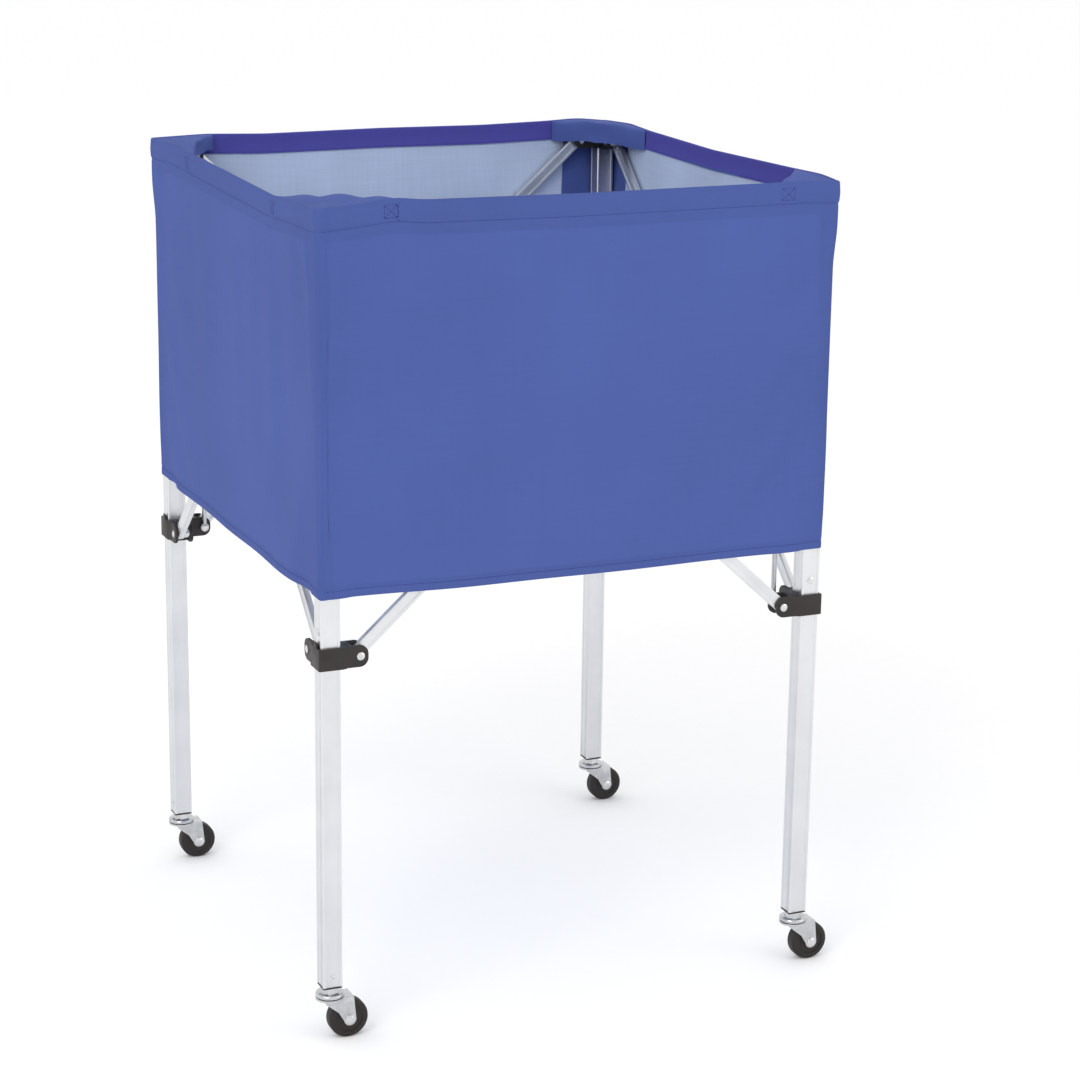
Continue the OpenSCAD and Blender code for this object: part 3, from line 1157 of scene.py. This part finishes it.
    def wall_sheet(self, side: Side, inner: bool, columns: int) -> bpy.types.Object:
        """Cut and hang one wall sheet.

        Args:
            side: Which wall.
            inner: True for the lining.
            columns: Cells along the wall.

        Returns:
            The sheet with its thickness.
        """
        inset, height = self.wall_profile(inner)
        steps = np.hypot(np.diff(inset), np.diff(height))
        length = float(steps.sum())
        rows = len(height) - 1

        def place(across: np.ndarray, up: np.ndarray) -> np.ndarray:
            """Grid to hung cloth, with columns closer together at the corners."""
            row = np.rint((up + 1) / 2 * rows).astype(int)
            along = np.sign(across) * (1 - (1 - np.abs(across)) ** 1.6) * self.reach
            return self.on_wall(side, along, height[row], inset[row])

        kind = "lining" if inner else "wall"
        sheet = laid_sheet(f"basket_{kind}_{side.label}", columns, rows, place, (2 * self.reach, length))
        thicken(sheet, self.lining_cloth if inner else self.cloth)
        sheet.data.materials.append(self.rack.lining if inner else self.rack.cloth)
        if inner:
            # Painted shade: the lining's ends near the corners get the darker blue cloth.
            self.colour_corner_bands(sheet)
        else:
            self.colour_facing(sheet, side)
        sheet["cut"] = (2 * self.reach, length)
        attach(sheet, side.corner.leg)
        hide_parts(f"bag_{side.label}")
        return sheet

    def colour_facing(self, wall: bpy.types.Object, side: Side) -> None:
        """Give the inside of the top hem its darker facing.

        Args:
            wall: The wall's sheet.
            side: Which wall.
        """
        outward = Vector(quarter_turned(np.array([[0.0, -1.0, 0.0]]), side.value)[0])
        wall.data.materials.append(self.rack.facing)
        hem = self.rim_z - self.top_hem
        for face in wall.data.polygons:
            if face.center.z > hem and face.normal.dot(outward) < self.facing_lean:
                face.material_index = 1

    def colour_corner_bands(self, lining: bpy.types.Object) -> None:
        """Paint shade on the lining's ends, behind the legs: they get the darker plain blue cloth, which
        stands in for the shade in the corners.

        Args:
            lining: The lining of one wall.
        """
        # Painted shade: faces near the corners take the darker blue cloth instead of the lining.
        lining.data.materials.append(self.rack.cloth)
        inner_edge = self.half - self.corner_band
        for face in lining.data.polygons:
            if min(abs(face.center.x), abs(face.center.y)) > inner_edge:
                face.material_index = 1

    def seam_rows(self, side: Side) -> list[SeamRow]:
        """Every row of stitches of one wall.

        Args:
            side: Which wall.

        Returns:
            The rows.
        """
        end = self.reach - 4 * MM
        hem = self.rim_z - self.top_hem
        inside = self.cloth / 2 + self.fold_gap - 0.5 * MM + self.cloth / 2
        low = self.hem_z + self.low_hem - 1.5 * MM
        seam = -self.reach + self.seam_inset
        rows = [
            SeamRow((-end, hem), (end, hem)),
            SeamRow((-end, hem + 2 * MM), (end, hem + 2 * MM), inside),
            SeamRow((-end, low), (end, low)),
            SeamRow((seam, self.hem_z + 3 * MM), (seam, hem - 3 * MM), wander=1.0),
        ]
        ends = (
            -self.reach + self.pocket_sizes[side.corner.value].ahead,
            self.reach - self.pocket_sizes[(side.value + 1) % 4].behind,
        )
        for centre in ends:
            rows += self.tack(centre + math.copysign(9 * MM, centre))
            rows.append(SeamRow((centre, hem), (centre, self.rim_z - 4 * MM)))
        return rows

    def tack(self, centre: float) -> list[SeamRow]:
        """Box of stitches with a cross, which holds a pocket's end.

        Args:
            centre: Middle of the box along the wall.

        Returns:
            The rows.
        """
        half_w, low, high = 8 * MM, self.rim_z - 22 * MM, self.rim_z - 7 * MM
        left, right = centre - half_w, centre + half_w
        corners = ((left, low), (right, low), (right, high), (left, high))
        box = [SeamRow(corners[i], corners[(i + 1) % 4]) for i in range(4)]
        return box + [SeamRow(corners[0], corners[2]), SeamRow(corners[3], corners[1])]

    def stitching(self, side: Side) -> bpy.types.Object:
        """Sew one wall: every stitch is a bead of thread half sunk in the cloth.

        Args:
            side: Which wall.

        Returns:
            The stitching as one piece.
        """
        starts, steps, insets, wanders = [], [], [], []
        for row in self.seam_rows(side):
            run = np.subtract(row.end, row.start)
            count = max(2, round(float(np.hypot(*run)) / self.stitch))
            for index in range(count):
                starts.append(np.array(row.start) + run * (index + 0.5) / count)
                steps.append(run / np.hypot(*run))
                insets.append(row.inset)
                wanders.append(row.wander)
        sewn = bead_row(f"basket_stitching_{side.label}", len(starts))
        beads = points_of(sewn)
        index = np.rint(beads[:, 0]).astype(int)
        lengthways = (beads[:, 0] - index) * self.stitch * 0.86
        sideways, height = beads[:, 1] * 0.75 * MM, beads[:, 2] * 0.7 * MM
        centre, step = np.array(starts)[index], np.array(steps)[index]
        along = centre[:, 0] + lengthways * step[:, 0] - sideways * step[:, 1]
        z = centre[:, 1] + lengthways * step[:, 1] + sideways * step[:, 0]
        wander = self.corner_seam(side, z) - (-self.reach + self.seam_inset)
        along = along + np.array(wanders)[index] * wander
        depth = np.array(insets)[index]
        move_points(sewn, self.on_wall(side, along, z, depth + np.where(depth > 0, height, -height)))
        smooth_faces(sewn, 60.0)
        sewn.data.materials.append(self.rack.thread)
        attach(sewn, side.corner.leg)
        return sewn

    def pocket(self, corner: Corner) -> bpy.types.Object:
        """Corner pocket over a leg and its bracket, with a doubled lip along its long side.

        Args:
            corner: Which corner.

        Returns:
            The pocket.
        """
        size = self.pocket_sizes[corner.value]
        side_ahead, side_behind = Side(corner.value), Side((corner.value + 3) % 4)
        inset = self.fold_gap + self.cloth
        origin = -(self.half + self.face + self.flare) + inset
        lip = self.pocket_lips[corner.value]
        top_share = 0.74
        turn_r = 2.2 * MM

        def place(across: np.ndarray, up: np.ndarray) -> np.ndarray:
            """Grid to pocket: a fan from the corner, turned down along the long side."""
            u, v = (1 - across) / 2, (up + 1) / 2
            fan = np.clip(v / top_share, 0, 1)
            hang = np.clip((v - top_share) / (1 - top_share), 0, 1)
            bow = 1 - 0.10 * np.sin(math.pi * u)
            x = origin + fan * u * (size.ahead - inset) * bow
            y = origin + fan * (1 - u) * (size.behind - inset) * bow
            rim_x = self.rim_shift(side_ahead, x - origin + inset - self.reach)
            rim_y = self.rim_shift(side_behind, self.reach - (y - origin + inset))
            rim = rim_x * u + rim_y * (1 - u)
            inner = np.sin(math.pi * u) * fan
            crumple = np.sin(x / 0.011 + 1.9 * corner.value) * np.sin(y / 0.014 - corner.value)
            crumple = crumple + 0.7 * np.sin((x + y) / 0.019 + 2.3 * corner.value)
            crease = np.abs(np.sin(2.6 * math.pi * u + 0.9 * corner.value)) - 0.6
            lift = 2.8 * MM * inner + (1.5 * MM * crumple + 2.4 * MM * crease * fan) * np.sqrt(inner)
            z = self.rim_z - 0.9 * MM + rim + lift
            slope = hang * (lip + turn_r)
            turned = np.minimum(slope / turn_r, math.pi / 2)
            down = turn_r * (1 - np.cos(turned)) + np.maximum(0, slope - turn_r * math.pi / 2)
            flutter = np.sin(math.pi * hang) * np.sin(3 * math.pi * u)
            outward = turn_r * np.sin(turned) + 1.2 * MM * flutter
            across_x, across_y = size.behind, size.ahead
            norm = math.hypot(across_x, across_y)
            x = x + outward * across_x / norm
            y = y + outward * across_y / norm
            points = np.stack([x, y, z - down], axis=1)
            return quarter_turned(points, corner.value)

        long_side = math.hypot(size.ahead, size.behind)
        sheet = laid_sheet(
            f"basket_pocket_{corner.label}", 56, 44, place, (long_side, size.ahead * size.behind / long_side)
        )
        pick(sheet)
        bpy.ops.object.mode_set(mode="EDIT")
        bpy.ops.mesh.select_all(action="SELECT")
        bpy.ops.mesh.remove_doubles(threshold=0.01 * MM)
        bpy.ops.object.mode_set(mode="OBJECT")
        thicken(sheet, self.cloth)
        sheet["cut"] = (long_side, size.ahead * size.behind / long_side + lip)
        sheet["cut_area"] = size.ahead * size.behind / 2 + long_side * lip
        sheet.data.materials.append(self.rack.cloth)
        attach(sheet, corner.leg)
        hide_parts(f"bag_{Side(corner.value).label}")
        return sheet


def bead_row(name: str, count: int) -> bpy.types.Object:
    """Row of thread beads one unit apart, from one bead repeated.

    Args:
        name: Name of the piece.
        count: Number of beads.

    Returns:
        The row along X.
    """
    bpy.ops.object.select_all(action="DESELECT")
    bpy.ops.mesh.primitive_ico_sphere_add(subdivisions=1, radius=0.5)
    row = bpy.context.object
    row.name = row.data.name = name
    apply_modifier(row, "ARRAY", count=count, use_relative_offset=False, use_constant_offset=True,
                   constant_offset_displace=(1.0, 0.0, 0.0))
    return row


# ---------------------------------------------------------------------------------------------------
# Folding
# ---------------------------------------------------------------------------------------------------


def bar_run(low: Vector, high: Vector) -> tuple[float, float]:
    """Distance between a bar's end pins.

    Args:
        low: Low corner of the front bar's box.
        high: High corner of the front bar's box.

    Returns:
        The distance along X and the rise.
    """
    return high.x - low.x - BAR_DEPTH, high.z - low.z - BAR_DEPTH


@dataclass
class Folding:
    """Folded spacing of the legs; the cloth pieces only get their own meshes and are not taken up as the
    frame folds.
    """

    spacing: float = field(init=False)
    folded: float = field(init=False)
    pocket_keep: float = 0.58

    def __post_init__(self) -> None:
        """Work out the folded spacing of the legs from a bar's length and the fold joint's travel."""
        low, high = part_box("front_bar_outer")
        leg_low, leg_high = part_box("leg_front_left")
        self.spacing = -(leg_low.x + leg_high.x)
        run, rise = bar_run(low, high)
        travel = math.radians(max(next(j for j in frame["joints"] if j["name"] == "fold")["range_deg"]))
        folded_run = math.hypot(run, rise) * math.cos(math.atan2(rise, run) + travel)
        self.folded = folded_run + self.spacing - run

    def take_up(self, piece: bpy.types.Object) -> None:
        """Give a wall's piece its own mesh; it does not gather as the legs fold.

        Args:
            piece: Cloth piece of the wall.
        """
        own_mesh(piece)

    def tuck_pocket(self, piece: bpy.types.Object) -> None:
        """Give a pocket its own mesh; it does not shorten as the legs close.

        Args:
            piece: The pocket.
        """
        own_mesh(piece)

    def gather_floor(self, piece: bpy.types.Object, corner: Corner, along: tuple[float, float]) -> None:
        """Give a piece of the floor its own mesh; it does not gather towards a leg.

        Args:
            piece: Piece of the floor.
            corner: Corner whose leg carries it; not used.
            along: Direction of the gathering, X and Y; not used.
        """
        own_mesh(piece)


@dataclass(frozen=True)
class FloorPatch:
    """One piece of the basket's floor, from its low corner to its high corner in X and Y."""

    label: str
    low: tuple[float, float]
    high: tuple[float, float]
    corner: Corner
    along: tuple[float, float]


@dataclass
class BasketFloor:
    """Floor of the basket, in pieces, each carried by a leg."""

    rack: FinishRack
    basket: Basket
    folding: Folding
    slot_reach: float = 148.5 * MM
    slot_width: float = 36.0 * MM
    sag: float = 9.0 * MM
    crease_w: float = 4.0 * MM
    cell: float = 13.0 * MM
    cloth: float = 0.8 * MM

    @property
    def edge(self) -> float:
        """Distance from the middle to the floor's edge."""
        return self.basket.half + self.basket.face - 2.0 * MM

    def patches(self) -> list[FloorPatch]:
        """Pieces of the floor.

        Returns:
            The pieces, which meet edge to edge.
        """
        e, s = self.edge, self.slot_reach
        i = e - self.slot_width
        along_x, along_y = (1.0, 0.0), (0.0, 1.0)
        patches = [
            FloorPatch("front_tongue", (-s, -e), (s, -i), Corner.FRONT_LEFT, along_x),
            FloorPatch("front_strip", (-i, -i), (i, -s), Corner.FRONT_LEFT, along_x),
            FloorPatch("back_strip", (-i, s), (i, i), Corner.BACK_LEFT, along_x),
            FloorPatch("back_tongue", (-s, i), (s, e), Corner.BACK_LEFT, along_x),
            FloorPatch("left_patch", (-e, -s), (-s, s), Corner.FRONT_LEFT, along_y),
            FloorPatch("right_patch", (s, -s), (e, s), Corner.FRONT_RIGHT, along_y),
        ]
        for corner in Corner:
            sign_x = 1.0 if corner in (Corner.FRONT_RIGHT, Corner.BACK_RIGHT) else -1.0
            sign_y = 1.0 if corner in (Corner.BACK_RIGHT, Corner.BACK_LEFT) else -1.0
            low = (min(0.0, sign_x * s), min(0.0, sign_y * s))
            high = (max(0.0, sign_x * s), max(0.0, sign_y * s))
            diagonal = (sign_x / math.sqrt(2), sign_y / math.sqrt(2))
            patches.append(FloorPatch(f"middle_{corner.label}", low, high, corner, diagonal))
        return patches

    def height(self, x: np.ndarray, y: np.ndarray) -> np.ndarray:
        """Height of the sagging floor, with a shallow crease along each join."""
        u, v = x / self.edge, y / self.edge
        bowl = (1 - u**2) * (1 - v**2)
        crease = 0.0
        for line in (-self.slot_reach, self.slot_reach):
            crease = crease + bump(x - line, self.crease_w) + bump(y - line, self.crease_w)
        wrinkle = np.sin(x / 0.043 + 1.3 * np.sin(y / 0.06)) * np.sin(y / 0.051 + 0.8)
        sunk = self.sag * bowl + 0.8 * MM * crease + 1.1 * MM * wrinkle * np.sqrt(np.clip(bowl, 0, 1))
        return self.basket.hem_z + 3.0 * MM - sunk

    def build(self) -> None:
        """Cut and hang every piece of the floor."""
        for patch in self.patches():
            width, depth = patch.high[0] - patch.low[0], patch.high[1] - patch.low[1]

            def place(across: np.ndarray, up: np.ndarray, patch: FloorPatch = patch) -> np.ndarray:
                """Grid to sagging cloth."""
                x = patch.low[0] + (across + 1) / 2 * (patch.high[0] - patch.low[0])
                y = patch.low[1] + (up + 1) / 2 * (patch.high[1] - patch.low[1])
                return np.stack([x, y, self.height(x, y)], axis=1)

            columns, rows = max(3, round(width / self.cell)), max(3, round(depth / self.cell))
            piece = laid_sheet(f"basket_floor_{patch.label}", columns, rows, place, (width, depth))
            thicken(piece, self.cloth)
            piece.data.materials.append(self.rack.lining)
            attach(piece, patch.corner.leg)
            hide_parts("bag_floor")
            self.folding.gather_floor(piece, patch.corner, patch.along)
            LOG.info("%s: %d faces", piece.name, len(piece.data.polygons))


# ---------------------------------------------------------------------------------------------------
# Studio
# ---------------------------------------------------------------------------------------------------


@dataclass(frozen=True)
class Studio:
    """Pale floor, soft light and the camera."""

    camera_at: Colour = (-1.3646, -3.3341, 1.5011)
    heading: float = 0.4122
    dip: float = 0.2634
    roll: float = 0.0135
    lens: float = 92.35
    floor_size: float = 90.0
    world_strength: float = 1.04

    def build(self) -> None:
        """Build the studio."""
        self.lay_floor()
        self.hang_lights()
        self.place_camera()

    def lay_floor(self) -> None:
        """Pale floor with a faint tooth."""
        bpy.ops.object.select_all(action="DESELECT")
        bpy.ops.mesh.primitive_grid_add(x_subdivisions=8, y_subdivisions=8, size=self.floor_size)
        floor = bpy.context.object
        floor.name = "studio_floor"
        pale = (0.955, 0.955, 0.955)
        finish = MouldedFinish("pale_floor", pale, 300.0, 0.002 * MM, (0.85, 0.95), 0.004, 0.05)
        floor.data.materials.append(finish.make())

    def hang_lights(self) -> None:
        """White surround, a large key light and a low fill."""
        world = bpy.data.worlds.new("studio_surround")
        world.use_nodes = True
        background = world.node_tree.nodes["Background"]
        background.inputs["Color"].default_value = (1.0, 1.0, 1.0, 1.0)
        background.inputs["Strength"].default_value = self.world_strength
        bpy.context.scene.world = world
        bpy.context.scene.view_settings.view_transform = "Standard"
        for name, at, size, watts, aim in (
            ("key_light", (-3.1, -2.7, 3.7), 2.4, 62.0, (0.0, 0.0, 0.7)),
            ("fill_light", (3.4, -3.0, 1.6), 2.0, 16.0, (0.0, 0.0, 0.5)),
        ):
            light = bpy.data.lights.new(name, "AREA")
            light.size = size
            light.energy = watts
            holder = bpy.data.objects.new(name, light)
            bpy.context.scene.collection.objects.link(holder)
            holder.location = at
            away = Vector(at) - Vector(aim)
            holder.rotation_euler = away.to_track_quat("Z", "Y").to_euler()

    def place_camera(self) -> None:
        """Camera at the front left, looking slightly down."""
        camera = bpy.data.cameras.new("camera")
        camera.lens = self.lens
        camera.sensor_width = 36.0
        holder = bpy.data.objects.new("camera", camera)
        bpy.context.scene.collection.objects.link(holder)
        holder.location = self.camera_at
        holder.rotation_mode = "XYZ"
        look = np.array([
            math.sin(self.heading) * math.cos(self.dip),
            math.cos(self.heading) * math.cos(self.dip),
            -math.sin(self.dip),
        ])
        right = np.array([math.cos(self.heading), -math.sin(self.heading), 0.0])
        up = np.cross(right, look)
        tilted_right = right * math.cos(self.roll) + up * math.sin(self.roll)
        tilted_up = up * math.cos(self.roll) - right * math.sin(self.roll)
        basis = np.stack([tilted_right, tilted_up, -look], axis=1)
        holder.matrix_world = Matrix.Translation(self.camera_at) @ Matrix(basis.tolist()).to_4x4()
        bpy.context.scene.camera = holder


def main() -> None:
    """Build the cart piece by piece."""
    logging.basicConfig(level=logging.INFO, format="%(name)s: %(message)s")
    run, rise = bar_run(*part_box("front_bar_outer"))
    rack = FinishRack(math.atan2(rise, run))
    Studio().build()
    Chassis(rack).build()
    Casters(rack).build()
    basket = Basket(rack)
    folding = Folding()
    LOG.info("folded leg spacing %.1f mm", folding.folded / MM)
    for side in Side:
        wall = basket.wall_sheet(side, False, 120)
        lining = basket.wall_sheet(side, True, 80)
        sewn = basket.stitching(side)
        pocket = basket.pocket(side.corner)
        for piece in (wall, lining, sewn):
            folding.take_up(piece)
            LOG.info("%s: %d faces", piece.name, len(piece.data.polygons))
        folding.tuck_pocket(pocket)
        LOG.info("%s: %d faces", pocket.name, len(pocket.data.polygons))
    BasketFloor(rack, basket, folding).build()


if __name__ == "__main__":
    main()
